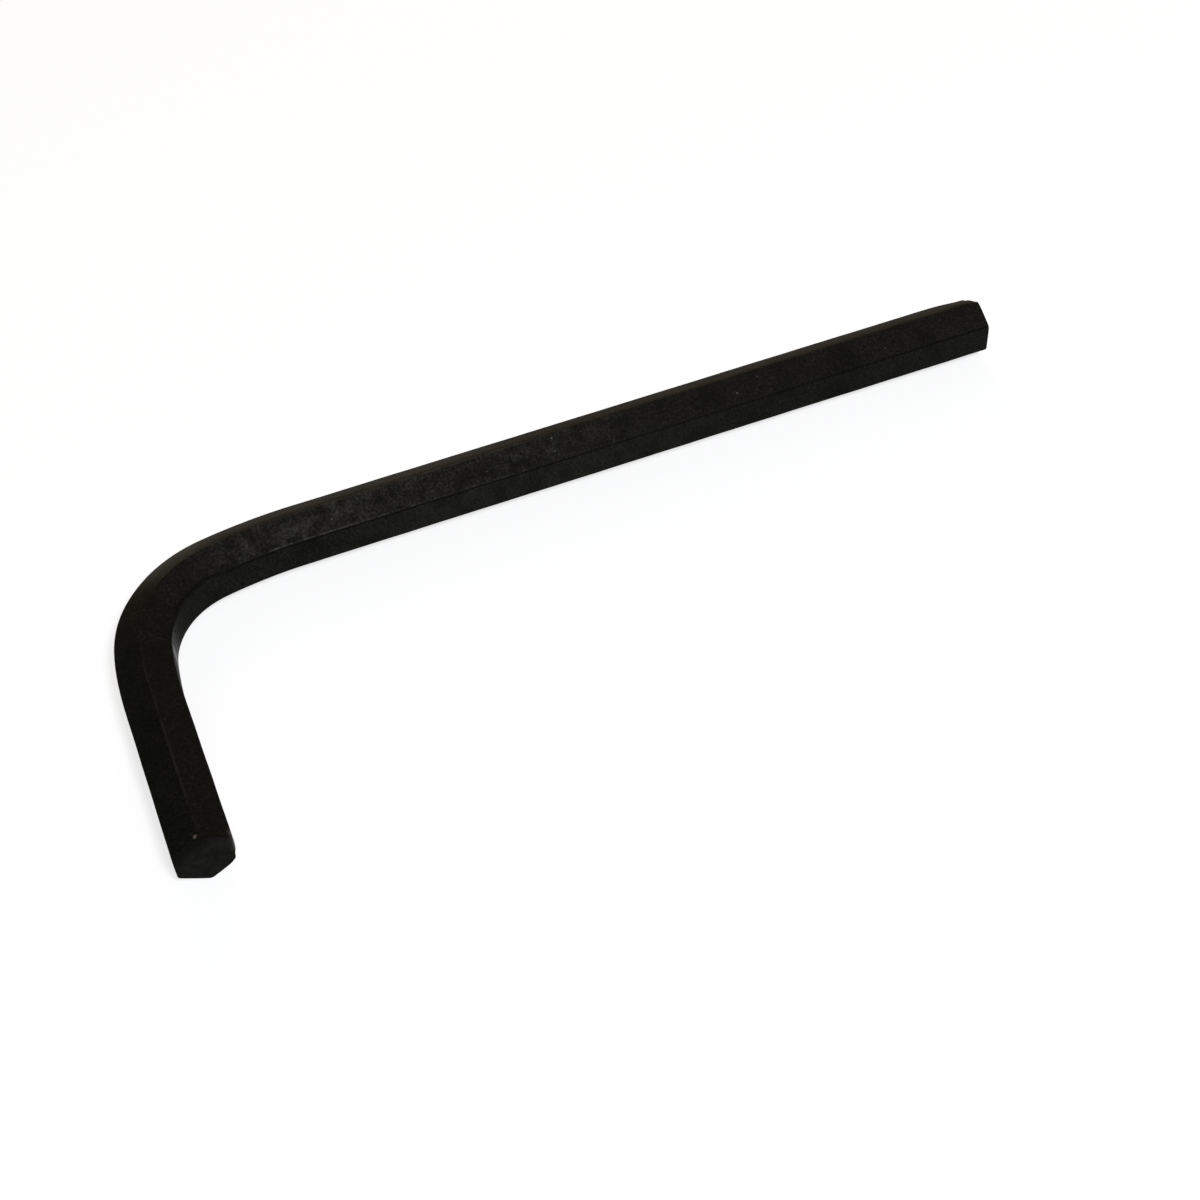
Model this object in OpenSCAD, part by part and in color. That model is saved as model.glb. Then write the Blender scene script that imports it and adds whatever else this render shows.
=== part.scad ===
// Hex key: one length of hexagonal steel bar, bent once into a long and a short arm.
// It lies flat. The long arm runs along +X and the short arm along -Y. One edge of the bar points
// straight up and one straight down, so that one flat faces the inside of the bend.

/* [Bar] */
// Size of the socket that the key fits, across the flats of the bar
across_flats = 4; // [2:0.5:8]
// Radius on the six long edges of the drawn bar
edge_r = 0.25; // [0.05:0.05:0.5]

/* [Arms] */
// Overall length of the long arm, from the outer flat of the short arm to the tip
long_arm = 71; // [45:1:150]
// Overall length of the short arm, from the outer flat of the long arm to the foot
short_arm = 27; // [22:1:60]

/* [Bend] */
// Radius of the tight middle of the bend, at the middle of the bar
bend_r = 8; // [5:0.5:12]
// Radius of the slow curve that leads from the bend into the long arm
long_ease_r = 35; // [15:1:60]
// Part of the right angle that the curve into the long arm turns through
long_ease_angle = 11; // [4:1:20]
// Radius of the slow curve that leads from the bend into the short arm
short_ease_r = 26; // [10:1:40]
// Part of the right angle that the curve into the short arm turns through
short_ease_angle = 10; // [4:1:20]

/* [Ends] */
// How far the turned chamfer takes back each corner of the bar, at the end face
corner_cut = 0.1; // [0.05:0.05:0.3]
// Angle between the chamfer and the bar's own axis
chamfer_angle = 40; // [20:5:60]

/* [Hidden] */
$fn = 64;

// The turn is a right angle, shared between the three curves of the bend
bend_angle = 90 - long_ease_angle - short_ease_angle;
// Distance from the middle of the bar to the middle of each rounded edge, and to its outermost line
edge_centre = (across_flats / 2 - edge_r) / cos(30);
corner_radius = edge_centre + edge_r;

// The corner where the middle lines of the two arms would meet, with the outline's middle as the origin
corner = [across_flats - long_arm, short_arm - across_flats] / 2;
// How far the bend reaches along each arm from that corner
reach_down = short_ease_r * sin(short_ease_angle)
    + bend_r * (cos(long_ease_angle) - sin(short_ease_angle))
    + long_ease_r * (1 - cos(long_ease_angle));
reach_along = long_ease_r * sin(long_ease_angle)
    + bend_r * (cos(short_ease_angle) - sin(long_ease_angle))
    + short_ease_r * (1 - cos(short_ease_angle));
// Where the bend starts on each arm, and the centres of its three curves
short_start = corner - [0, reach_down];
long_start = corner + [reach_along, 0];
short_ease_centre = short_start + [short_ease_r, 0];
long_ease_centre = long_start - [0, long_ease_r];
bend_centre = short_ease_centre
    + (short_ease_r - bend_r) * [-cos(short_ease_angle), sin(short_ease_angle)];

// Section of the bar: a hexagon with flats to the left and right and its six corners rounded
module section() {
    polygon([for (turn = [30:60:330], side = [-30, 30])
        edge_centre * [cos(turn), sin(turn)] + edge_r * [cos(turn + side), sin(turn + side)]]);
    for (turn = [30:60:330])
        rotate(turn)
            translate([edge_centre, 0])
                circle(r = edge_r);
}

// Moves its children in two steps, round hundredths first and what is left after them, so that the
// faces of neighbouring stretches meet without a hair's gap
module shift(place) {
    hundredths = [round(100 * place.x), round(100 * place.y)] / 100;
    translate(hundredths)
        translate(place - hundredths)
            children();
}

// Straight bar from the origin along +X, which ends in a flat face with its corners chamfered.
// The chamfer is one wide cone, so it meets the flats in shallow curves, as a turned one does.
module arm(length) {
    face_radius = corner_radius - corner_cut;
    intersection() {
        rotate([90, 0, 90])
            linear_extrude(length)
                section();
        rotate([0, 90, 0])
            cylinder(h = length, r1 = face_radius + length * tan(chamfer_angle), r2 = face_radius);
    }
}

// Curved bar round the origin, which turns anticlockwise from the start angle
module curve(radius, start, angle) {
    rotate_extrude(start = start, angle = angle)
        translate([radius, 0])
            section();
}

// The whole bar, from the foot of the short arm, round the bend and out to the tip of the long arm.
// Its lowest edge lies at z = 0.
module hex_key() {
    color("#26251f")
        translate([0, 0, corner_radius]) {
            shift(short_start)
                rotate(-90)
                    arm(short_arm - across_flats / 2 - reach_down);
            shift(short_ease_centre)
                curve(short_ease_r, 180 - short_ease_angle, short_ease_angle);
            shift(bend_centre)
                curve(bend_r, 90 + long_ease_angle, bend_angle);
            shift(long_ease_centre)
                curve(long_ease_r, 90, long_ease_angle);
            shift(long_start)
                arm(long_arm - across_flats / 2 - reach_along);
        }
}

hex_key();
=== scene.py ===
# %% [markdown]
# # A hex key
# The object is one length of hexagonal steel bar, bent once while cold and then blackened. There
# is nothing to put together, so everything that the eye reads lies in one surface: how true the
# flats run, how tight the bend is, how round the edges are, and what years of use left on the
# black skin.

import bpy
import numpy as np
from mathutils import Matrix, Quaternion, Vector


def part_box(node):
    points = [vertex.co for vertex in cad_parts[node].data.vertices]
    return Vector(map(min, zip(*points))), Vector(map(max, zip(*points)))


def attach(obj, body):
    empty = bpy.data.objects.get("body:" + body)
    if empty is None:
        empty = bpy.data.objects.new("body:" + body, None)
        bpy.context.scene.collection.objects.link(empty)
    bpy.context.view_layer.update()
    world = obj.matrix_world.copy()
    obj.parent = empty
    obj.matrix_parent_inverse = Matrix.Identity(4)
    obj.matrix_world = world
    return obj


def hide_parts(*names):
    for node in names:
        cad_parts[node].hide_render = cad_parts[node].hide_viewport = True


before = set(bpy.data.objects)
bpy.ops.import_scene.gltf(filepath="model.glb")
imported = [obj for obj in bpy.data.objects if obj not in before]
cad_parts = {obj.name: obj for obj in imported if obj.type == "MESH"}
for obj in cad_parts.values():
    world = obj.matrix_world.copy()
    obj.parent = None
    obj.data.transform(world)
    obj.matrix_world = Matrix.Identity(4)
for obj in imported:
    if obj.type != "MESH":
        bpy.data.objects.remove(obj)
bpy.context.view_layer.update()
low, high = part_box("hex_key")
print("the bar's box in millimetres:", [round(1000 * v, 2) for v in (*low, *high)])

# %% [markdown]
# ## Sizes
# The bar's overall sizes are read from the solid. What a box can't tell, the radii of the bend
# and of the edges, is named here as a maker would measure it. The bend isn't one arc: a tight
# middle runs out into each arm through a slow curve, as it does when steel is pulled round a
# former. At the ends, the chamfer only just takes the tips off the six corners.

# %% Sizes of the bar
MM = 0.001
BEND_R = 8 * MM
LONG_EASE_R, LONG_EASE_TURN = 35 * MM, np.radians(11)
SHORT_EASE_R, SHORT_EASE_TURN = 26 * MM, np.radians(10)
EDGE_R = 0.25 * MM
CORNER_CUT = 0.03 * MM
CHAMFER_SLOPE = np.tan(np.radians(40))

long_arm, short_arm, height = (high[k] - low[k] for k in range(3))
corner_radius = height / 2
edge_centre = corner_radius - EDGE_R
across_flats = 2 * (edge_centre * np.cos(np.radians(30)) + EDGE_R)
print(f"arms {long_arm / MM:.1f} and {short_arm / MM:.1f} mm,",
      f"{across_flats / MM:.2f} mm across the flats")

# %% [markdown]
# ## The middle line
# A bent bar is a profile carried along a path. The path's direction is the easy part: it holds
# still on a straight stretch and turns at a constant rate on an arc, so it is a line graph over
# the distance travelled. The places follow by adding up short chords, each a little shorter than
# its arc.

# %% Distances along the bar
bend_turn = np.pi / 2 - LONG_EASE_TURN - SHORT_EASE_TURN
reach_down = (SHORT_EASE_R * np.sin(SHORT_EASE_TURN)
              + BEND_R * (np.cos(LONG_EASE_TURN) - np.sin(SHORT_EASE_TURN))
              + LONG_EASE_R * (1 - np.cos(LONG_EASE_TURN)))
reach_along = (LONG_EASE_R * np.sin(LONG_EASE_TURN)
               + BEND_R * (np.cos(SHORT_EASE_TURN) - np.sin(LONG_EASE_TURN))
               + SHORT_EASE_R * (1 - np.cos(SHORT_EASE_TURN)))
stretches = np.array([short_arm - across_flats / 2 - reach_down,
                      SHORT_EASE_R * SHORT_EASE_TURN, BEND_R * bend_turn,
                      LONG_EASE_R * LONG_EASE_TURN,
                      long_arm - across_flats / 2 - reach_along])
turns = np.array([0, SHORT_EASE_TURN, bend_turn, LONG_EASE_TURN, 0])
joints_at = np.concatenate([[0], np.cumsum(stretches)])
bar_length = joints_at[-1]
print("stretches in millimetres, from the foot:", np.round(stretches / MM, 2))


# %% A function for the middle line
def middle_line(distance):
    """Places and inward directions at rising distances from the foot, which hold every joint.

    The heading falls from a quarter turn to zero in proportion to the distance on each stretch.
    A step that turns by a has a chord of its length times sin(a/2)/(a/2), along the mean of its
    two headings.
    """
    heading = np.interp(distance, joints_at, np.pi / 2 - np.concatenate([[0], np.cumsum(turns)]))
    step, turn = np.diff(distance), np.diff(heading)
    mean = heading[:-1] + turn / 2
    chord = step * np.sinc(turn / 2 / np.pi)
    place = np.zeros((len(distance), 3))
    place[1:, 0] = np.cumsum(chord * np.cos(mean))
    place[1:, 1] = np.cumsum(chord * np.sin(mean))
    place += [low[0] + across_flats / 2, low[1], low[2] + corner_radius]
    inward = np.stack([np.sin(heading), -np.cos(heading), np.zeros_like(heading)], axis=1)
    return place, inward


meet_at = middle_line(joints_at)[0][:, :2]
print("the stretches meet at, in millimetres:", np.round(meet_at / MM, 1).tolist())

# %% [markdown]
# ## The section
# The section is a hexagon whose corners are rounded, with one corner up and one down. Each corner
# is an arc of a sixth of a turn, and each flat is a straight run to the next arc. The points
# crowd on the arcs, because that is where the light changes, and a few on the flats carry their
# fine waves.

# %% A function for the section
ARC_STEPS, FLAT_STEPS = 8, 10
FIRST_CORNER, NEXT_CORNER, HALF_ARC = np.radians([-90, 60, 30])


def section():
    """Points round the rounded hexagon, anticlockwise seen from the foot, and each one's way round.

    A corner's arc is its centre plus the edge radius times a unit vector that swings 30 degrees
    either side of the corner's own direction. A flat is a straight blend between two neighbouring
    arcs' ends. The way round adds up the steps from the middle of the bottom edge.
    """
    corner = FIRST_CORNER + NEXT_CORNER * np.arange(6)[:, None]
    swing = corner + np.linspace(-HALF_ARC, HALF_ARC, ARC_STEPS + 1)
    arc = (edge_centre * np.stack([np.cos(corner), np.sin(corner)], axis=-1)
           + EDGE_R * np.stack([np.cos(swing), np.sin(swing)], axis=-1))
    share = np.linspace(0, 1, FLAT_STEPS + 1)[1:-1, None]
    start, end = arc[:, -1:], np.roll(arc, -1, axis=0)[:, :1]
    flat = start + share * (end - start)
    ring = np.concatenate([arc, flat], axis=1).reshape(-1, 2)
    ring = np.roll(ring, -(ARC_STEPS // 2), axis=0)
    step = np.linalg.norm(np.diff(np.vstack([ring, ring[:1]]), axis=0), axis=1)
    return ring, np.concatenate([[0], np.cumsum(step)])


ring, around = section()
PERIMETER = around[-1]
print(len(ring), "points round the section,", round(PERIMETER / MM, 2), "mm round")

# %% [markdown]
# ## Rows along the bar
# The ends were turned to a shallow cone that takes the tips off the six corners, and tumbling
# then rounded the rim. Both are a limit on how far a point may lie from the middle, which depends
# only on its distance from the end. So the rows are close together there, and further apart on
# the arms.

# %% Row spacing
END_ROWS = np.array([0, 0.006, 0.014, 0.026, 0.042, 0.062, 0.09, 0.13, 0.18, 0.24, 0.32, 0.42,
                     0.55, 0.7, 0.85, 1.0, 1.2]) * MM
ARM_STEP, BEND_STEP, CLOSEST = 0.4 * MM, 0.25 * MM, 0.003 * MM
PLACES = 9


def row_distances():
    """Distances from the foot: close rows at both ends, even rows on each stretch, every joint.

    An even row that falls among an end's close rows is left out, and so is one that lies nearer
    than the closest step to the row before it. All are rounded to a nanometre, so that equal
    ones count once.
    """
    runs = [END_ROWS, bar_length - END_ROWS, joints_at]
    for start, end, turn in zip(joints_at[:-1], joints_at[1:], turns):
        step = BEND_STEP if turn else ARM_STEP
        runs.append(np.linspace(start, end, int(np.ceil((end - start) / step)) + 1))
    rows = np.unique(np.concatenate(runs).round(PLACES))
    near_end = np.minimum(rows, bar_length - rows) < END_ROWS[-1]
    wanted = np.isin(rows, np.concatenate(runs[:2]).round(PLACES))
    rows = rows[~near_end | wanted]
    return rows[np.concatenate([[True], np.diff(rows) > CLOSEST])]


distance = row_distances()
place, inward = middle_line(distance)
miss = np.linalg.norm(place[-1] - [high[0], high[1] - across_flats / 2, corner_radius])
print(len(distance), "rows; the tip misses the solid's by", round(miss / MM, 4), "mm")

# %% A function for the ends
RIM_R, SOFTEN = 0.04 * MM, 0.01 * MM


def end_scale(radius, from_end, rim_r):
    """How much of its radius a point keeps near an end.

    The cone allows the face radius plus the distance from the end times the chamfer's slope. The
    lesser of that and the bar's own radius is taken smoothly, as minus k log(exp(-a/k) +
    exp(-b/k)). The rim is a quarter circle: its inset is its radius less the root of r squared
    minus (r - distance) squared.
    """
    cone = corner_radius - CORNER_CUT + from_end * CHAMFER_SLOPE
    kept = -SOFTEN * np.logaddexp(-radius / SOFTEN, -cone / SOFTEN)
    inside = np.clip(rim_r - from_end, 0, rim_r)
    inset = rim_r - np.sqrt(rim_r ** 2 - inside ** 2)
    return (kept - inset) / radius


print("share of its radius that a corner keeps, at the end and a tenth of a millimetre in:",
      [round(float(end_scale(corner_radius, back, RIM_R)), 3) for back in (0, 0.1 * MM)])

# %% [markdown]
# ## Waves
# Bar that was drawn through a die and bent over a former is never quite flat. Waves of a
# hundredth of a millimetre are too small to measure on the outline, but they make a reflection
# swim a little, and without them a flat looks like a drawing. Products of sines over the place
# itself carry on smoothly round the bar and through the bend.

# %% Functions for the fine form
SLOW_WAVE, FINE_WAVE = 0.006, 0.003
PITCH = PERIMETER / 6 / MM
EDGES = {name: k * PITCH
         for k, name in enumerate(("bottom", "under_inner", "inner", "top", "back"))}
bar_mm = bar_length / MM


def waves(point):
    """Height of the unevenness in metres: a slow and a finer wave, each a product of two sines."""
    x, y, z = (point / MM).T
    slow = np.sin(0.55 * x + 1.3 * y + 0.4) * np.sin(0.9 * z + 0.31 * x)
    fine = np.sin(1.7 * x - 0.8 * y + 2.1) * np.sin(2.1 * z + 0.9 * y)
    return (SLOW_WAVE * slow + FINE_WAVE * fine) * MM


def bell(value, middle, width):
    """A bell curve: e to the minus square of the distance from the middle, measured in widths."""
    return np.exp(-((value - middle) / width) ** 2)


print("waves of", SLOW_WAVE, "and", FINE_WAVE, "mm, and long edges", round(PITCH, 2), "mm apart")

# %% [markdown]
# ## Wounds
# Four real wounds are on this key. At the foot, the top edge is chipped and the lower inner corner
# is blunted. At the tip, the back edge is knocked round over the last two millimetres, and the top
# edge has a notch. Each is a bell-shaped dent. It is given as its depth, its place and width along
# the bar, and its place and width round it, all in millimetres.

# %% The wounds
u, v = distance[:, None] / MM, around[None, :-1] / MM
WOUNDS = {"chip": (0.14, 0.18, 0.34, EDGES["top"] + 0.24, 0.30),
          "knock": (0.16, bar_mm - 0.3, 1.6, EDGES["back"] - 0.2, 0.8),
          "notch": (0.16, bar_mm - 0.15, 0.5, EDGES["top"] + 0.35, 0.6),
          "blunting": (0.18, 0, 0.9, EDGES["under_inner"] + 0.15, 0.55)}
wounds = {name: deep * bell(u, along, long) * bell(v, turn, wide)
          for name, (deep, along, long, turn, wide) in WOUNDS.items()}
dents = sum(wounds.values()) * MM
print("depths in millimetres:",
      {name: round(float(wound.max()), 3) for name, wound in wounds.items()})

# %% [markdown]
# ## The crown of the flats
# A flat of drawn bar is also a little crowned, by about two hundredths of a millimetre. Where the
# bar was bent, its upper outer flat was stretched and bulges more. On the model as on the key,
# that is why this flat grows brighter towards the back: it turns away from the eye there, and
# mirrors the table.

# %% The crown
CROWN, BENT_CROWN = 0.017, 0.06
STRETCHED_AT, STRETCHED_LONG = 24, 5
on_top_outer = (v > EDGES["top"]) & (v < EDGES["back"])
stretched = BENT_CROWN * on_top_outer * bell(u, STRETCHED_AT, STRETCHED_LONG)
crown = np.abs(np.sin(np.pi * v / PITCH)) * (CROWN + stretched) * MM
print("the flats stand", CROWN, "to", round(crown.max() / MM, 3), "mm proud in their middles")

# %% [markdown]
# ## The surface
# Every point is its row's place on the middle line, plus its section point along two directions:
# inward, towards the inside of the bend, and up. Each rim is worn rounder in one place, which is
# given as its radius there, its place in flats round the bar, and its width. The two end faces
# continue the same grid as rings that shrink to a single point, so the skin is closed and has no
# seam at the rim.

# %% The side
WORN_RIMS = ((0.32 * MM, 1.6, 1.0), (0.45 * MM, 3.75, 0.9))
WAVE_FADE = 1.5 * MM
UP = np.array([0, 0, 1])
radius = np.linalg.norm(ring, axis=1)
from_end = np.minimum(distance, bar_length - distance)
foot_rim, tip_rim = (RIM_R + (worn - RIM_R) * bell(v, flats * PITCH, wide)
                     for worn, flats, wide in WORN_RIMS)
rim_r = np.where(u < bar_mm / 2, foot_rim, tip_rim)
keep = end_scale(radius[None, :], from_end[:, None], rim_r)
outward = (ring[:, 0, None] * inward[:, None, :] + ring[:, 1, None] * UP) / radius[:, None]
side = place[:, None, :] + keep[..., None] * radius[:, None] * outward
fade = np.clip(from_end / WAVE_FADE, 0, 1)[:, None]
push = waves(side.reshape(-1, 3)).reshape(side.shape[:2]) * fade + crown - dents
side = side + push[..., None] * outward
print("side of", side.shape[0], "rows and", side.shape[1], "columns")

# %% The end faces
CAP_RINGS, DISH = 16, 0.03 * MM
share = np.linspace(1, 0, CAP_RINGS + 1)[1:-1]


def cap(rim, middle, axis):
    """Rings from a rim to the middle of its end face, which is dished.

    A ring is the rim drawn in to its share of the way out from the middle, and pushed in against
    the face's axis by the dish times 1 less the share squared.
    """
    flat = middle + share[:, None, None] * (rim[None] - middle)
    return flat - DISH * (1 - share ** 2)[:, None, None] * axis


foot_axis, tip_axis = np.array([0, -1, 0]), np.array([1, 0, 0])
foot_cap = cap(side[0], place[0], foot_axis)[::-1]
tip_cap = cap(side[-1], place[-1], tip_axis)
grid = np.concatenate([foot_cap, side, tip_cap])
poles = np.stack([place[0] - DISH * foot_axis, place[-1] - DISH * tip_axis])
print("grid of", grid.shape[0], "rows and", grid.shape[1], "columns")

# %% [markdown]
# ## What the finish will follow
# Wear isn't the same all over: it follows how the key was made and carried. So a few measures are
# worked out here for every point of the grid, most of them a share from 0 to 1, and the material
# only has to read them. What has to be sharper than the mesh, such as a line along an edge, is
# left to the material, which knows its place from a UV map in millimetres along and around the
# bar.

# %% Functions for shares
def ease(value, start, stop):
    """0 before start, 1 after stop, and 3s squared less 2s cubed of the share s in between."""
    s = np.clip((value - start) / (stop - start), 0, 1)
    return s * s * (3 - 2 * s)


def between(value, start, stop, soft):
    """1 from start to stop, eased to 0 over a soft width on both sides."""
    return ease(value, start - soft, start) * (1 - ease(value, stop, stop + soft))


print("ease at a quarter, a half and three quarters:", ease(np.array([0.25, 0.5, 0.75]), 0, 1))

# %% Where each point is
SOFT = 0.1
columns = len(ring)
cap_depth = (1 - share)[:, None] * radius[None, :]
side_depth = np.broadcast_to(from_end[:, None], side.shape[:2])
end_mm = np.concatenate([-cap_depth[::-1], side_depth, -cap_depth]) / MM
u = np.concatenate([np.zeros(len(share)), distance, np.full(len(share), bar_length)])
u = u[:, None] / MM
on_side = end_mm >= 0
top_inner = between(v, EDGES["inner"], EDGES["top"], SOFT)
top_outer = between(v, EDGES["top"] + SOFT / 2, EDGES["back"], SOFT) * on_side
inner = between(v, EDGES["under_inner"], EDGES["inner"], SOFT) * on_side
long_arm_share = ease(u, joints_at[1] / MM, joints_at[3] / MM)
masks = {"end_mm": end_mm, "long_arm": long_arm_share, "top_inner": top_inner,
         "top_outer": top_outer * long_arm_share}
print("measures on", end_mm.shape, "points, up to", round(float(end_mm.max()), 1),
      "mm from an end")

# %% [markdown]
# ### Where it was rubbed, and where highlights are painted
# Past the bend lies a long scuffed zone, strongest on the upper inner flat, and weaker and further
# out on the flat below it; its paleness is partly real scuffing and partly a painted highlight. In
# it are seven paler patches, each given as its place along and round the bar and its width both
# ways. A painted highlight runs as a hairline beside the inner edge there, and the topmost edge is
# worn on both arms, its pale line on the long arm partly a painted highlight too. A stretch is its
# start and stop in millimetres from the foot, with a soft width where it fades at both ends.

# %% Scuffs, burnish, painted highlights and worn edges
ZONE_IN, ZONE_THINNER, ZONE_OUT = (25, 29), (40, 50), (56, 64)
PATCHES = ((30.4, 5.9, 0.5, 0.6), (33.5, 5.3, 1.2, 0.5), (36.8, 5.8, 1.6, 0.9),
           (39.2, 6.3, 0.4, 0.4), (43.6, 6.2, 0.5, 0.5), (50.6, 5.8, 0.9, 0.6),
           (54.0, 5.6, 0.5, 0.6))
SCUFFED_BELOW, BURNISHED_BELOW, SHEEN_BEND = (46, 62, 7), (44, 62, 7), (24.5, 26.5, 2.5)
HIGHLIGHT_IN, HIGHLIGHT_THINNER, HIGHLIGHT_OUT = (31, 32.5), (36, 42), (46, 56)
WORN_SHORT, SHEEN_LONG = (4, 14, 4), (34, 52, 3)

zone = ease(u, *ZONE_IN) * (1 - 0.3 * ease(u, *ZONE_THINNER)) * (1 - ease(u, *ZONE_OUT))
patches = sum(bell(u, at, long) * bell(v, turn, wide) for at, turn, long, wide in PATCHES)
# The scuffed zone's paleness is partly real scuffing and partly a painted highlight on the upper
# inner flat.
masks["scuffed"] = ((0.2 + 0.8 * top_inner) * (0.9 * zone + 0.9 * patches)
                    + 0.15 * inner * between(u, *SCUFFED_BELOW)) * on_side
# The upper outer flat's pale stripe where the bend runs out is a painted highlight; the faint
# stretch on the inner flat is burnish.
masks["burnished"] = (top_outer * between(u, *SHEEN_BEND)
                      + 0.16 * inner * between(u, *BURNISHED_BELOW))
# A painted highlight: the pale hairline just above the inner edge.
masks["rubbed"] = (ease(u, *HIGHLIGHT_IN) * (0.3 + 0.7 * (1 - ease(u, *HIGHLIGHT_THINNER)))
                   * (1 - ease(u, *HIGHLIGHT_OUT)) * on_side)
# The pale line along the top edge is wear, and on the long arm it is partly a painted highlight.
masks["worn"] = (0.4 * between(u, *WORN_SHORT) + 0.85 * between(u, *SHEEN_LONG)) * on_side
print("scuffed zone from", ZONE_IN[0], "to", ZONE_OUT[1], "mm, with", len(PATCHES), "patches")

# %% [markdown]
# ### Where it stayed dull, how dark the edge lines are, and the painted light at the foot
# The upper outer flat is dull on the short arm and glossy past the bend, but for a narrow strip
# beside the top edge and a duller stretch near the tip. The lines along the edges are darkest in
# the scuffed zone and widest in the bend. The flat on the inside of the bend was pressed smooth
# by the former. At the foot, the rim on the inner side carries a painted highlight. The end faces
# carry painted shade: they are lighter on their lower, inner side.

# %% Dullness, edge lines and painted light at the foot
GLOSS_IN, STRIP = (20.5, 24.5), (0.1, 1.0)
DULLER, DULLER_TIP = (53, 60, 5), (60, 65)
EDGE_LINE_IN, SPECKS_IN = (20, 22.5), (24, 29)
PINCHED, PRESSED = (22.5, 25.5, 3), (17.4, 19.2, 1.8)
LIT_ACROSS = (0.2, 1.7)

off_strip = 0.45 + 0.55 * ease(v - EDGES["top"], *STRIP)
glossy = 1 - 0.3 * between(u, *DULLER) - 0.14 * ease(u, *DULLER_TIP)
masks["dull"] = top_outer * (1 - ease(u, *GLOSS_IN) * off_strip * glossy)
# How dark the lines along the edges are drawn: more past the bend and in the scuffed zone.
masks["dirt"] = 0.25 + 0.42 * ease(u, *EDGE_LINE_IN) + 0.28 * zone
masks["pinched"] = between(u, *PINCHED) * on_side
masks["pressed"] = between(u, *PRESSED) * inner
masks["nicked"] = 0.08 + ease(u, *SPECKS_IN) * (0.07 + 0.45 * top_inner)
# A painted highlight on the worn round rim on the foot's inner side.
rim_middle = between(v, 1.42 * PITCH, 1.85 * PITCH, 0.45) * bell(end_mm, 0.24, 0.14)
rim_corner = bell(v, 1.98 * PITCH, 0.2) * bell(end_mm, 0.3, 0.25)
masks["rim_wear"] = (rim_middle + 0.36 * rim_corner) * (u < bar_mm / 2)
face_share = np.concatenate([share[::-1], np.ones(len(distance)), share])[:, None]
across = face_share * (ring @ [-0.5, 0.866]) / MM
# Painted shade on the end faces: darker on their upper, outer side.
masks["face_light"] = ease(across_flats / 2 / MM - across, *LIT_ACROSS)
for name, values in masks.items():
    print(f"{name:10s} {values.min():6.2f} to {values.max():5.2f}")

# %% [markdown]
# ## Into a mesh
# The grid becomes a mesh in one call. Each face runs first along the bar and then round it, which
# turns its front outwards. The end faces carry on the same map and the same measures, and the
# point in the middle of each takes the mean of the ring round it.

# %% Faces
rows = grid.shape[0]
row, column = np.meshgrid(np.arange(rows - 1), np.arange(columns), indexing="ij")
right = (column + 1) % columns
quads = np.stack([row * columns + column, (row + 1) * columns + column,
                  (row + 1) * columns + right, row * columns + right], axis=-1).reshape(-1, 4)
first, last = np.arange(columns), (rows - 1) * columns + np.arange(columns)
foot_pole, tip_pole = rows * columns, rows * columns + 1
foot_fan = np.stack([first, np.roll(first, -1), np.full(columns, foot_pole)], axis=-1)
tip_fan = np.stack([np.roll(last, -1), last, np.full(columns, tip_pole)], axis=-1)
points = np.concatenate([grid.reshape(-1, 3), poles])
faces = quads.tolist() + foot_fan.tolist() + tip_fan.tolist()
mesh = bpy.data.meshes.new("bent_bar")
mesh.from_pydata(points, [], faces)
print(len(points), "points,", sum(len(face) - 2 for face in faces), "triangles")

# %% The UV map
u_row = np.concatenate([-cap_depth[::-1].mean(1), distance, bar_length + cap_depth.mean(1)]) / MM
v_column = around / MM
quad_uv = np.stack([np.stack([u_row[row], v_column[column]], axis=-1),
                    np.stack([u_row[row + 1], v_column[column]], axis=-1),
                    np.stack([u_row[row + 1], v_column[column + 1]], axis=-1),
                    np.stack([u_row[row], v_column[column + 1]], axis=-1)], axis=2)
pole_step = radius.mean() / CAP_RINGS / MM


def fan_uv(u_rim, u_pole, order):
    """UV of a fan: each triangle's two rim corners in the given order, then the pole midway."""
    ends = np.stack([v_column[:-1], v_column[1:]], axis=1)[:, order]
    corners = np.empty((columns, 3, 2))
    corners[:, :2, 0], corners[:, 2, 0] = u_rim, u_pole
    corners[:, :2, 1], corners[:, 2, 1] = ends, ends.mean(1)
    return corners.reshape(-1, 2)


uv = np.concatenate([quad_uv.reshape(-1, 2), fan_uv(u_row[0], u_row[0] - pole_step, [0, 1]),
                     fan_uv(u_row[-1], u_row[-1] + pole_step, [1, 0])])
mesh.uv_layers.new(name="bar_mm").data.foreach_set("uv", uv.ravel())
print("the map runs from", np.round(uv.min(0), 1), "to", np.round(uv.max(0), 1), "mm")

# %% Measures and the piece
for name, values in masks.items():
    values = np.broadcast_to(values, grid.shape[:2])
    values = np.concatenate([values.ravel(), values[[0, -1]].mean(1)]).astype(np.float32)
    mesh.attributes.new(name, "FLOAT", "POINT").data.foreach_set("value", values)
mesh.shade_smooth()
mesh.validate()
key = bpy.data.objects.new("hex_key_bar", mesh)
bpy.context.scene.collection.objects.link(key)
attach(key, "root")
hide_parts("hex_key")
print(key.name, "has", len(mesh.attributes), "attributes and", len(mesh.polygons), "faces")

# %% [markdown]
# ## Which way is out
# A surface made by hand can come out inside out, and a renderer may not show it. The signed volume
# of the mesh tells: it is the sum over all triangles of a sixth of their corners' determinant, and
# it is positive when the faces point outwards. It should also be within a hundredth of the volume
# of plain hexagonal bar, and a little above it, because the flats are crowned.

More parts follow.
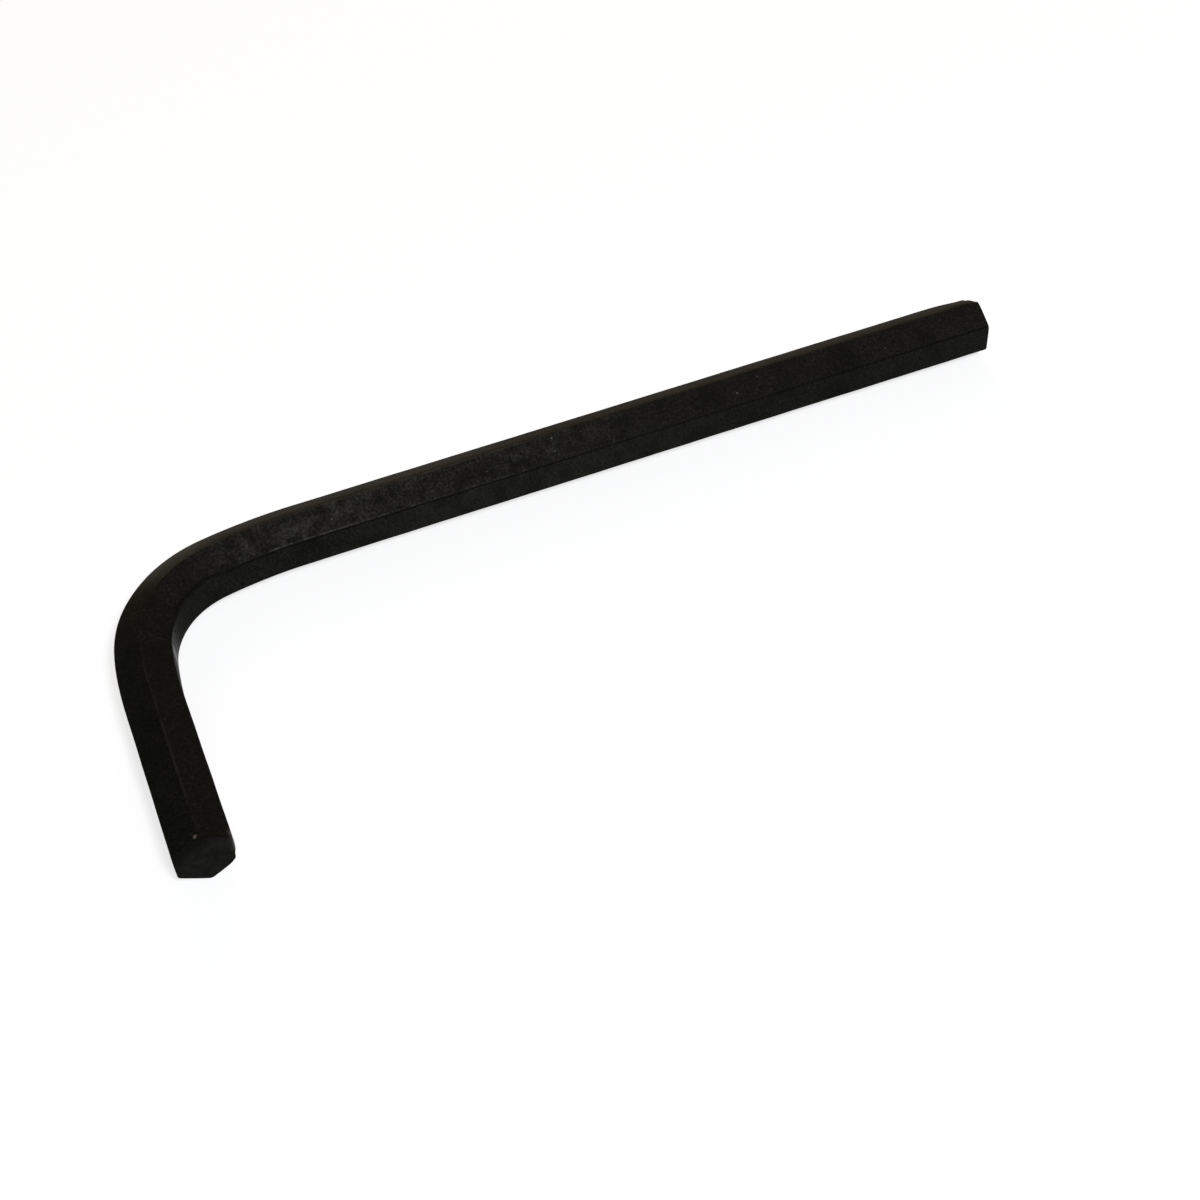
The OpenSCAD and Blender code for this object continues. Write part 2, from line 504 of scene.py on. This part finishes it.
# %% Measure the volume
mesh.calc_loop_triangles()
corners = np.empty(len(mesh.loop_triangles) * 3, np.int32)
mesh.loop_triangles.foreach_get("vertices", corners)
a, b, c = points[corners.reshape(-1, 3)].transpose(1, 0, 2)
volume = np.einsum("ij,ij->i", a, np.cross(b, c)).sum() / 6
plain_bar = np.sqrt(3) / 2 * across_flats ** 2 * bar_length
print("volume", round(volume / MM ** 3, 1), "cubic millimetres, and", round(plain_bar / MM ** 3, 1),
      "for sharp-edged bar; faces outwards:", bool(volume > 0))

# %% [markdown]
# ## Colours and nodes
# A screen colour is stored on a curve, and the renderer wants the amount of light. One function
# turns the first into the second, so that every colour below can be written the way a picture
# editor shows it. Another adds a node to a material, and a third starts an empty material.

# %% Functions for colours and nodes
def colour(text):
    """Linear colour of an sRGB hex value.

    A channel c becomes c/12.92 below 0.04045, and otherwise ((c + 0.055)/1.055) to the 2.4.
    """
    c = np.array([int(text[k:k + 2], 16) for k in (1, 3, 5)]) / 255
    return (*np.where(c <= 0.04045, c / 12.92, ((c + 0.055) / 1.055) ** 2.4), 1)


def add(tree, kind, *values, out=0, into=(), **settings):
    """Adds a node, sets it up, and returns one of its outputs, or all of them where out is None.

    The settings are its properties. The values go to the inputs that it shows, in their order,
    and those in `into` by the input's name. A value that is another node's output is linked to
    the input.
    """
    made = tree.nodes.new("ShaderNode" + kind)
    for name, setting in settings.items():
        setattr(made, name, setting)
    shown = [socket for socket in made.inputs if socket.enabled]
    named = [(made.inputs[name], value) for name, value in dict(into).items()]
    for socket, value in [*zip(shown, values), *named]:
        if isinstance(value, bpy.types.NodeSocket):
            tree.links.new(value, socket)
        else:
            socket.default_value = value
    if out is None or isinstance(out, str):
        return made.outputs if out is None else made.outputs[out]
    return [socket for socket in made.outputs if socket.enabled][out]


def new_material(name):
    """An empty node material, its tree and its output node."""
    material = bpy.data.materials.new(name)
    material.use_nodes = True
    tree = material.node_tree
    tree.nodes.clear()
    return material, tree, tree.nodes.new("ShaderNodeOutputMaterial")


print("middle grey, #808080, is", round(float(colour("#808080")[0]), 3), "of full light")

# %% [markdown]
# ## Black oxide
# The black is not paint but a skin of magnetite, grown on the steel in a hot salt bath and sealed
# with oil. It is a thousandth of a millimetre thick and full of pores, so it drinks light: it is
# near black, barely shiny when looked at squarely, and turns glossy only at a glancing angle. That
# asks for a dark, fairly rough surface whose mirror part is turned far down, and leaves the rest
# to the pattern.

# %% What the finish reads
material, oxide, output = new_material("black_oxide_on_steel")
bar = add(oxide, "UVMap", uv_map="bar_mm")
round_bar = add(oxide, "SeparateXYZ", bar, out="Y")
in_metres = add(oxide, "TexCoord", out="Object")
in_mm = add(oxide, "VectorMath", in_metres, operation="SCALE", into={"Scale": 1 / MM})
mask = {name: add(oxide, "Attribute", out="Fac", attribute_name=name) for name in masks}
print("the finish reads", ", ".join(mask))

# %% [markdown]
# ### The black itself
# The black differs by arm and by flat, partly because a salt bath never takes evenly and partly as
# painted light: the short arm is painted darker and more olive, its upper inner flat most of all,
# as painted shade, and the long arm is greyer, with a breath of brown on its two upper flats that
# is partly painted warm light. Over all of it lies a fine grain of a fifth of a millimetre, from
# the drawn skin of the steel, and a slower cloudiness. Where the bend runs out, the upper outer
# flat is painted a little paler as a painted highlight, and a stretch of the flat that faces
# inwards, further along, is very faintly burnished paler.

# %% The black
OLIVE, DEEP, NEUTRAL, WARM, BROWN = (
    colour(text) for text in ("#0f0f0a", "#0d0c08", "#171815", "#161512", "#1e1a0e"))
GREY_GRAIN, DARK_GRAIN, CLOUDED, SHEEN_AND_BURNISH = (
    colour(text) for text in ("#4c4b45", "#070706", "#0b0b08", "#57544a"))
GRAIN, CLOUD = 0.17, 2.2
# The tints per arm and per flat are partly painted light: the short arm's darker olive is painted
# shade, and the long arm's warm upper flats are partly painted warm light.
warm = add(oxide, "Mix", mask["top_inner"], NEUTRAL, WARM, data_type="RGBA")
warm = add(oxide, "Mix", mask["top_outer"], warm, BROWN, data_type="RGBA")
olive = add(oxide, "Mix", mask["top_inner"], OLIVE, DEEP, data_type="RGBA")
black = add(oxide, "Mix", mask["long_arm"], olive, warm, data_type="RGBA")
grain = add(oxide, "TexNoise", in_mm, 1 / GRAIN, 3.0, 0.6)
cloud = add(oxide, "TexNoise", in_mm, 1 / CLOUD, 1.0)
most = add(oxide, "MapRange", mask["long_arm"], 0, 1, 0.08, 0.14)
light_grain = add(oxide, "MapRange", grain, 0.45, 0.75, 0, most, interpolation_type="SMOOTHSTEP")
dark_grain = add(oxide, "MapRange", grain, 0.25, 0.5, 0.75, 0, interpolation_type="SMOOTHSTEP")
dim = add(oxide, "MapRange", cloud, 0.3, 0.55, 0.45, 0, interpolation_type="SMOOTHSTEP")
black = add(oxide, "Mix", light_grain, black, GREY_GRAIN, data_type="RGBA")
black = add(oxide, "Mix", dark_grain, black, DARK_GRAIN, data_type="RGBA")
black = add(oxide, "Mix", dim, black, CLOUDED, data_type="RGBA")
# Painted highlight: the upper outer flat is painted paler where the bend runs out; further along
# the inner flat this is faint burnish.
burnished = add(oxide, "Math", mask["burnished"], 0.16, operation="MULTIPLY")
black = add(oxide, "Mix", burnished, black, SHEEN_AND_BURNISH, data_type="RGBA")
print("grain of", GRAIN, "mm and clouds of", CLOUD, "mm")

# %% [markdown]
# ### The scuffed zone and its painted highlight
# Just past the bend the key has been rubbed across its length, perhaps on the edge of a tool roll.
# There the black is hazed in pale patches a millimetre or two across, and short fine scratches run
# around the bar. It shows most on the flat that faces up and inwards, where the pale haze is partly
# scuffing and partly a painted highlight. A noise on the bar's own map that is drawn out around the
# bar gives scratches which follow it through the bend. Each layer of them is given as its width and
# length in millimetres, its shift and its lean.

# %% Haze and scratches
HAZE_AND_SHEEN, SCRATCHED = colour("#42413c"), colour("#403e38")
HAZE, SCRATCHES = 1.1, ((0.10, 1.6, 0.0, 0.35), (0.07, 0.8, 7.3, -0.2))
haze = add(oxide, "TexNoise", in_mm, 1 / HAZE, 3.0, 0.6)
haze = add(oxide, "MapRange", haze, 0.35, 0.72, 0, 0.27, interpolation_type="SMOOTHSTEP")
uneven = add(oxide, "MapRange", grain, 0.3, 0.7, 0.2, 1.7, interpolation_type="SMOOTHSTEP")
haze = add(oxide, "Math", haze, uneven, operation="MULTIPLY")
scratches = []
for wide, long, shift, lean in SCRATCHES:
    drawn_out = add(oxide, "Mapping", bar, (shift, 0, 0), (0, 0, lean), (wide, long, 1),
                    vector_type="TEXTURE")
    noise = add(oxide, "TexNoise", drawn_out, 1.0, 1.5)
    scratches.append(add(oxide, "MapRange", noise, 0.6, 0.72, interpolation_type="SMOOTHSTEP"))
pale = add(oxide, "Math", scratches[0], 0.26, haze, operation="MULTIPLY_ADD")
# The pale haze is partly scuffing and partly a painted highlight.
scuff = add(oxide, "Math", pale, mask["scuffed"], operation="MULTIPLY", use_clamp=True)
black = add(oxide, "Mix", scuff, black, HAZE_AND_SHEEN, data_type="RGBA")
scratch = add(oxide, "Math", scratches[0], scratches[1], operation="MAXIMUM")
faint = add(oxide, "Math", scratch, 0.1, operation="MULTIPLY")
black = add(oxide, "Mix", faint, black, SCRATCHED, data_type="RGBA")
print("scratches of", [f"{wide} by {long} mm" for wide, long, *_ in SCRATCHES])

# %% [markdown]
# ### Specks
# Grit has nicked the oxide all along the bar. Each nick is a dot of a tenth of a millimetre or
# less, and they lie a millimetre or two apart. Cells of a random mosaic place them: a dot is the
# area near a cell's own point, only some of the cells have one, and the cell's random colour sets
# its size.

# %% The specks
SPECK = colour("#6a675e")
CELL, LARGEST_DOT = 0.8, 0.09
cells = add(oxide, "TexVoronoi", in_mm, 1 / CELL, out=None)
chance = add(oxide, "SeparateColor", cells["Color"], out=None)
dot_size = add(oxide, "Math", chance["Green"], 3.0, operation="POWER")
dot_size = add(oxide, "Math", dot_size, LARGEST_DOT / CELL, operation="MULTIPLY")
beyond = add(oxide, "Math", cells["Distance"], dot_size, operation="SUBTRACT")
dot = add(oxide, "MapRange", beyond, -0.03, 0.03, 1, 0, interpolation_type="SMOOTHSTEP")
often = add(oxide, "MapRange", chance["Red"], 0.35, 0.4, 0, 1, interpolation_type="SMOOTHSTEP")
speck = add(oxide, "Math", dot, often, operation="MULTIPLY")
speck_share = add(oxide, "Math", speck, mask["nicked"], operation="MULTIPLY")
black = add(oxide, "Mix", speck_share, black, SPECK, data_type="RGBA")
print("specks up to", LARGEST_DOT, "mm in radius, in cells of", CELL, "mm")

# %% [markdown]
# ### The long edges
# Each of the six long edges is drawn as a thin dark line, which is wider and a little higher in
# the bend. In the scuffed zone a painted highlight runs as a pale hairline just above the inner
# edge. The topmost edge is the one that wears through, and a trace of brown steel shows along both
# arms; on the long arm this pale line is partly a painted highlight too. The lines come from the
# way
# round the bar in the map: its distance from the nearest edge is a fold, up and down again over
# each flat.

# %% Dark lines
LINE_ABOVE, LINE_SOFT, PINCHED_SOFT = 0.04, 0.12, 0.3
EDGE_BLACK = colour("#060605")
on_skin = add(oxide, "MapRange", mask["end_mm"], -0.02, 0.02, 0, 1,
              interpolation_type="SMOOTHSTEP")
lifted = add(oxide, "Math", mask["pinched"], -0.2, round_bar, operation="MULTIPLY_ADD")
lifted = add(oxide, "Math", lifted, LINE_ABOVE, operation="SUBTRACT")
from_line = add(oxide, "Math", lifted, PITCH / 2, operation="PINGPONG")
softness = add(oxide, "MapRange", mask["pinched"], 0, 1, LINE_SOFT, PINCHED_SOFT)
dark_line = add(oxide, "MapRange", from_line, softness, 0.02, 0, mask["dirt"],
                interpolation_type="SMOOTHSTEP")
from_top = add(oxide, "Math", round_bar, EDGES["top"] - LINE_ABOVE, operation="SUBTRACT")
from_top = add(oxide, "Math", from_top, operation="ABSOLUTE")
off_top = add(oxide, "MapRange", from_top, 0.2, 0.5, 0, on_skin)
dark_line = add(oxide, "Math", dark_line, off_top, operation="MULTIPLY")
black = add(oxide, "Mix", dark_line, black, EDGE_BLACK, data_type="RGBA")
print("dark lines", LINE_SOFT, "mm wide either side, and", PINCHED_SOFT, "mm in the bend")

# %% A painted highlight line and the worn top edge
HIGHLIGHT_ABOVE, BROKEN = 0.17, (1 / 1.4, 1 / 9.0, 1)
EDGE_HIGHLIGHT, WEAR_AND_SHEEN = colour("#55534d"), colour("#4c4740")
broken = add(oxide, "Mapping", bar, (0, 0, 0), (0, 0, 0), BROKEN)
broken = add(oxide, "TexNoise", broken, 1.0, 2.5)
# A painted highlight: a pale hairline just above the inner edge.
from_highlight = add(oxide, "Math", round_bar, EDGES["inner"] + HIGHLIGHT_ABOVE, operation="SUBTRACT")
from_highlight = add(oxide, "Math", from_highlight, operation="ABSOLUTE")
rub = add(oxide, "MapRange", broken, 0.4, 0.6, 0.15, 0.6, interpolation_type="SMOOTHSTEP")
rub = add(oxide, "MapRange", from_highlight, 0.07, 0.01, 0, rub, interpolation_type="SMOOTHSTEP")
rub = add(oxide, "Math", rub, mask["rubbed"], operation="MULTIPLY")
rub = add(oxide, "Math", rub, uneven, operation="MULTIPLY", use_clamp=True)
black = add(oxide, "Mix", rub, black, EDGE_HIGHLIGHT, data_type="RGBA")
# The pale line along the top edge is wear, and on the long arm it is partly a painted highlight.
worn = add(oxide, "MapRange", broken, 0.35, 0.6, 0.05, 0.3, interpolation_type="SMOOTHSTEP")
worn = add(oxide, "MapRange", from_top, 0.12, 0.03, 0, worn, interpolation_type="SMOOTHSTEP")
worn = add(oxide, "Math", worn, mask["worn"], operation="MULTIPLY")
black = add(oxide, "Mix", worn, black, WEAR_AND_SHEEN, data_type="RGBA")
print("pale line", HIGHLIGHT_ABOVE, "mm above the inner edge")

# %% [markdown]
# ### The ends
# Both ends were sheared, faced on a belt and chamfered before the bath, so their faces are matt and
# smudged; they also carry painted shade, darker on their upper, outer side. The foot's rim on the
# inner side is worn round, and its paleness is a painted highlight. At the chip, its top corner
# shows slightly bronze steel: the only place on the key where the metal itself is bare. A faint
# brown nick lies across the upper inner flat where the bend begins.

# %% The end faces' finish
SMUDGE_DARK, SMUDGE_LIGHT, FACE_PAINTED_SHADE, RIM_HIGHLIGHT = (
    colour(text) for text in ("#121211", "#1e1e1c", "#0b0b09", "#86827e"))
SMUDGE, RIM_HIGHLIGHT_SHARE = 0.9, 0.9
on_face = add(oxide, "MapRange", mask["end_mm"], -0.1, -0.02, 1, 0,
              interpolation_type="SMOOTHSTEP")
smudge = add(oxide, "TexNoise", in_mm, 1 / SMUDGE, 4.0, 0.65)
smudge = add(oxide, "MapRange", smudge, 0.35, 0.65, interpolation_type="SMOOTHSTEP")
face = add(oxide, "Mix", smudge, SMUDGE_DARK, SMUDGE_LIGHT, data_type="RGBA")
# Painted shade on the end faces: darker on their upper, outer side.
face = add(oxide, "Mix", mask["face_light"], FACE_PAINTED_SHADE, face, data_type="RGBA")
black = add(oxide, "Mix", on_face, black, face, data_type="RGBA")
# A painted highlight on the worn round rim on the foot's inner side.
rim_wear = add(oxide, "Math", mask["rim_wear"], RIM_HIGHLIGHT_SHARE, operation="MULTIPLY", use_clamp=True)
black = add(oxide, "Mix", rim_wear, black, RIM_HIGHLIGHT, data_type="RGBA")
print("smudges of", SMUDGE, "mm; the foot's rim is rubbed up to",
      round(RIM_HIGHLIGHT_SHARE * masks["rim_wear"].max(), 2))

# %% The chip and the nick
CHIP_AT = (1000 * (low[0] + across_flats / 2) - 0.19, 1000 * low[1] + 0.22,
           1000 * high[2] - 0.12)
NICK_AT, NICK_HALF = (18.15, 5.3), (0.09, 0.42)
BARE_STEEL, NICK_BROWN, JAG = colour("#564d43"), colour("#5e463a"), 0.25
to_chip = add(oxide, "VectorMath", in_mm, CHIP_AT, out="Value", operation="DISTANCE")
jag = add(oxide, "TexNoise", in_mm, 1 / JAG)
ragged = add(oxide, "Math", jag, 0.3, to_chip, operation="MULTIPLY_ADD")
bare = add(oxide, "MapRange", ragged, 0.24, 0.37, 1, 0, interpolation_type="SMOOTHSTEP")
black = add(oxide, "Mix", bare, black, BARE_STEEL, data_type="RGBA")
to_nick = tuple(-at / half for at, half in zip(NICK_AT, NICK_HALF)) + (0,)
nick = add(oxide, "Mapping", bar, to_nick, (0, 0, 0), (1 / NICK_HALF[0], 1 / NICK_HALF[1], 0))
nick = add(oxide, "VectorMath", nick, out="Value", operation="LENGTH")
nick = add(oxide, "Math", jag, 0.8, nick, operation="MULTIPLY_ADD")
nick = add(oxide, "MapRange", nick, 0.8, 1.4, 0.14, 0, interpolation_type="SMOOTHSTEP")
black = add(oxide, "Mix", nick, black, NICK_BROWN, data_type="RGBA")
print("chip at", [round(float(value), 2) for value in CHIP_AT], "mm, nick", NICK_AT[0],
      "mm from the foot")

# %% [markdown]
# ### Gloss and relief
# The flat pressed against the former is smoother inside the bend, with streaks across it, and
# rubbed oxide is rougher than oiled. The grain stands a few thousandths of a millimetre high and
# the scratches are as deep. That is too little for the mesh, so the shader tilts the light
# instead.

# %% Gloss
OILED, STREAK_WIDE, STREAK_LONG = 0.55, 0.35, 2.5
streaks = add(oxide, "Mapping", bar, (3.1, 0, 0), (0, 0, 0),
              (1 / STREAK_WIDE, 1 / STREAK_LONG, 1))
streaks = add(oxide, "TexNoise", streaks, 1.0, 2.0)
pressed = add(oxide, "MapRange", streaks, 0.35, 0.6, 0.1, 0.32, interpolation_type="SMOOTHSTEP")
pressed = add(oxide, "Math", pressed, mask["pressed"], operation="MULTIPLY")
roughness = add(oxide, "Math", scuff, 0.2, OILED, operation="MULTIPLY_ADD")
roughness = add(oxide, "Math", roughness, pressed, operation="SUBTRACT")
roughness = add(oxide, "Math", mask["dull"], 0.3, roughness, operation="MULTIPLY_ADD")
roughness = add(oxide, "Math", dark_line, -0.3, roughness, operation="MULTIPLY_ADD")
roughness = add(oxide, "Math", bare, -0.15, roughness, operation="MULTIPLY_ADD")
print("roughness", OILED, "where oiled, more where dull or scuffed, less in the lines")

# %% Relief and the shader
RELIEF, MIRROR_PART = 0.006, 0.013
relief_height = add(oxide, "Math", scratch, -0.6, grain, operation="MULTIPLY_ADD")
relief_height = add(oxide, "Math", speck, -0.8, relief_height, operation="MULTIPLY_ADD")
relief = add(oxide, "Bump", 1.0, RELIEF * MM, into={"Height": relief_height})
surface = add(oxide, "BsdfPrincipled", black, bare, roughness,
              into={"Normal": relief, "Specular IOR Level": MIRROR_PART})
oxide.links.new(surface, output.inputs["Surface"])
mesh.materials.append(material)
print(len(oxide.nodes), "nodes; relief up to", RELIEF, "mm")

# %% [markdown]
# ## The camera
# The key lies flat, and the camera looks down on it from in front, a little more steeply than a
# person at a bench would. Its place, its lens of about 60 mm on a 36 mm sensor, and the roll of
# four degrees are those at which the edges of the two arms run as they do in the picture.

# %% Make the camera
CAMERA_AT = np.array([-32.73, -91.22, 104.38]) * MM
LOOKS_AT = np.array([-1.855, -1.555, 0]) * MM
ROLL = np.radians(-4.08)
FOCAL_PIXELS, PICTURE_PIXELS, SENSOR = 1976, 1200, 36.0

camera_data = bpy.data.cameras.new("camera")
camera = bpy.data.objects.new("camera", camera_data)
bpy.context.scene.collection.objects.link(camera)
bpy.context.scene.camera = camera
camera_data.sensor_width = SENSOR
camera_data.lens = SENSOR * FOCAL_PIXELS / PICTURE_PIXELS
camera_data.clip_start, camera_data.clip_end = 0.001, 10
camera.location = CAMERA_AT
aim = Vector(LOOKS_AT - CAMERA_AT).to_track_quat("-Z", "Y")
camera.rotation_euler = (aim @ Quaternion((0, 0, 1), ROLL)).to_euler()
print(f"lens {camera_data.lens:.1f} mm,",
      f"{np.linalg.norm(CAMERA_AT - LOOKS_AT) / MM:.0f} mm from what it looks at")

# %% [markdown]
# ## Floor and light
# The key lies on a white sheet. The sheet is part paper, which takes the key's soft shadow, and
# part glow, so that it stays even and white in the picture and in the key's own glossy skin. It
# lies just under the lowest of the bar's waves, so that nothing sinks into it. The room is white
# to the eye and to a reflection, and gives the key only a soft fill.

# %% A function for what is seen
def seen_by_eye(tree):
    """1 for a ray from the eye, from a mirror or through glass, and 0 for one that gathers light.

    It is the greatest of the light path's three answers, each of them 0 or 1.
    """
    ray = add(tree, "LightPath", out=None)
    seen = add(tree, "Math", ray["Is Camera Ray"], ray["Is Glossy Ray"], operation="MAXIMUM")
    return add(tree, "Math", seen, ray["Is Transmission Ray"], operation="MAXIMUM")


# %% The floor
HALF, GLOW = 0.6, 0.75
LIT_PAPER, PAPER = (0.34, 0.34, 0.34, 1), (0.7, 0.7, 0.7, 1)
sheet_z = float(points[:, 2].min())
sheet_corners = [(-HALF, -HALF, sheet_z), (HALF, -HALF, sheet_z), (HALF, HALF, sheet_z),
                 (-HALF, HALF, sheet_z)]
floor_mesh = bpy.data.meshes.new("sheet")
floor_mesh.from_pydata(sheet_corners, [], [(0, 1, 2, 3)])
floor = bpy.data.objects.new("sheet", floor_mesh)
bpy.context.scene.collection.objects.link(floor)
sheet_material, sheet, output = new_material("white_sheet")
seen = seen_by_eye(sheet)
glow = add(sheet, "Emission", colour("#ffffff"), GLOW)
lit_paper = add(sheet, "BsdfDiffuse", LIT_PAPER)
sheet_seen = add(sheet, "AddShader", glow, lit_paper)
paper = add(sheet, "BsdfDiffuse", PAPER)
sheet.links.new(add(sheet, "MixShader", seen, paper, sheet_seen), output.inputs["Surface"])
floor_mesh.materials.append(sheet_material)
print("sheet of", 2 * HALF, "m, at", round(sheet_z / MM, 4), "mm")

# %% The world
FILL = 0.18
world = bpy.data.worlds.new("studio")
bpy.context.scene.world = world
world.use_nodes = True
sky = world.node_tree
sky.nodes.clear()
seen = seen_by_eye(sky)
fill = add(sky, "Background", colour("#ffffff"), FILL)
white = add(sky, "Background", colour("#ffffff"), 1.0)
mix = add(sky, "MixShader", seen, fill, white)
sky.links.new(mix, sky.nodes.new("ShaderNodeOutputWorld").inputs["Surface"])
print("white room with a soft fill of", FILL)

# %% [markdown]
# ### Two lamps
# A small, almost white lamp stands high in front and lights the flats that face the eye. A larger,
# warmer and weaker one stands low behind, and brings out the upper outer flat. Each is given as
# its place and size in millimetres, its power in watts and its tint.

# %% Lights
LIGHTS = {"key": ((60, -350, 480), 100, 2.5, "#f8faff"),
          "back": ((60, 500, 200), 250, 0.7, "#ffe2b8")}


def area_light(name, place_mm, size_mm, watts, tint):
    """A square area light at a place, turned to face the middle of the key."""
    data = bpy.data.lights.new(name, "AREA")
    data.size, data.energy, data.color = size_mm * MM, watts, colour(tint)[:3]
    light = bpy.data.objects.new(name, data)
    bpy.context.scene.collection.objects.link(light)
    light.location = Vector(place_mm) * MM
    light.rotation_euler = (-Vector(place_mm)).to_track_quat("-Z", "Y").to_euler()


for name, lamp in LIGHTS.items():
    area_light(name, *lamp)
    print(name, "light of", lamp[2], "W,", round(Vector(lamp[0]).length), "mm away")

# %% [markdown]
# ## Finish
# The view transform is set to Standard, and the scene is brought up to date.

# %% Finish
bpy.context.scene.view_settings.view_transform = "Standard"
bpy.context.view_layer.update()
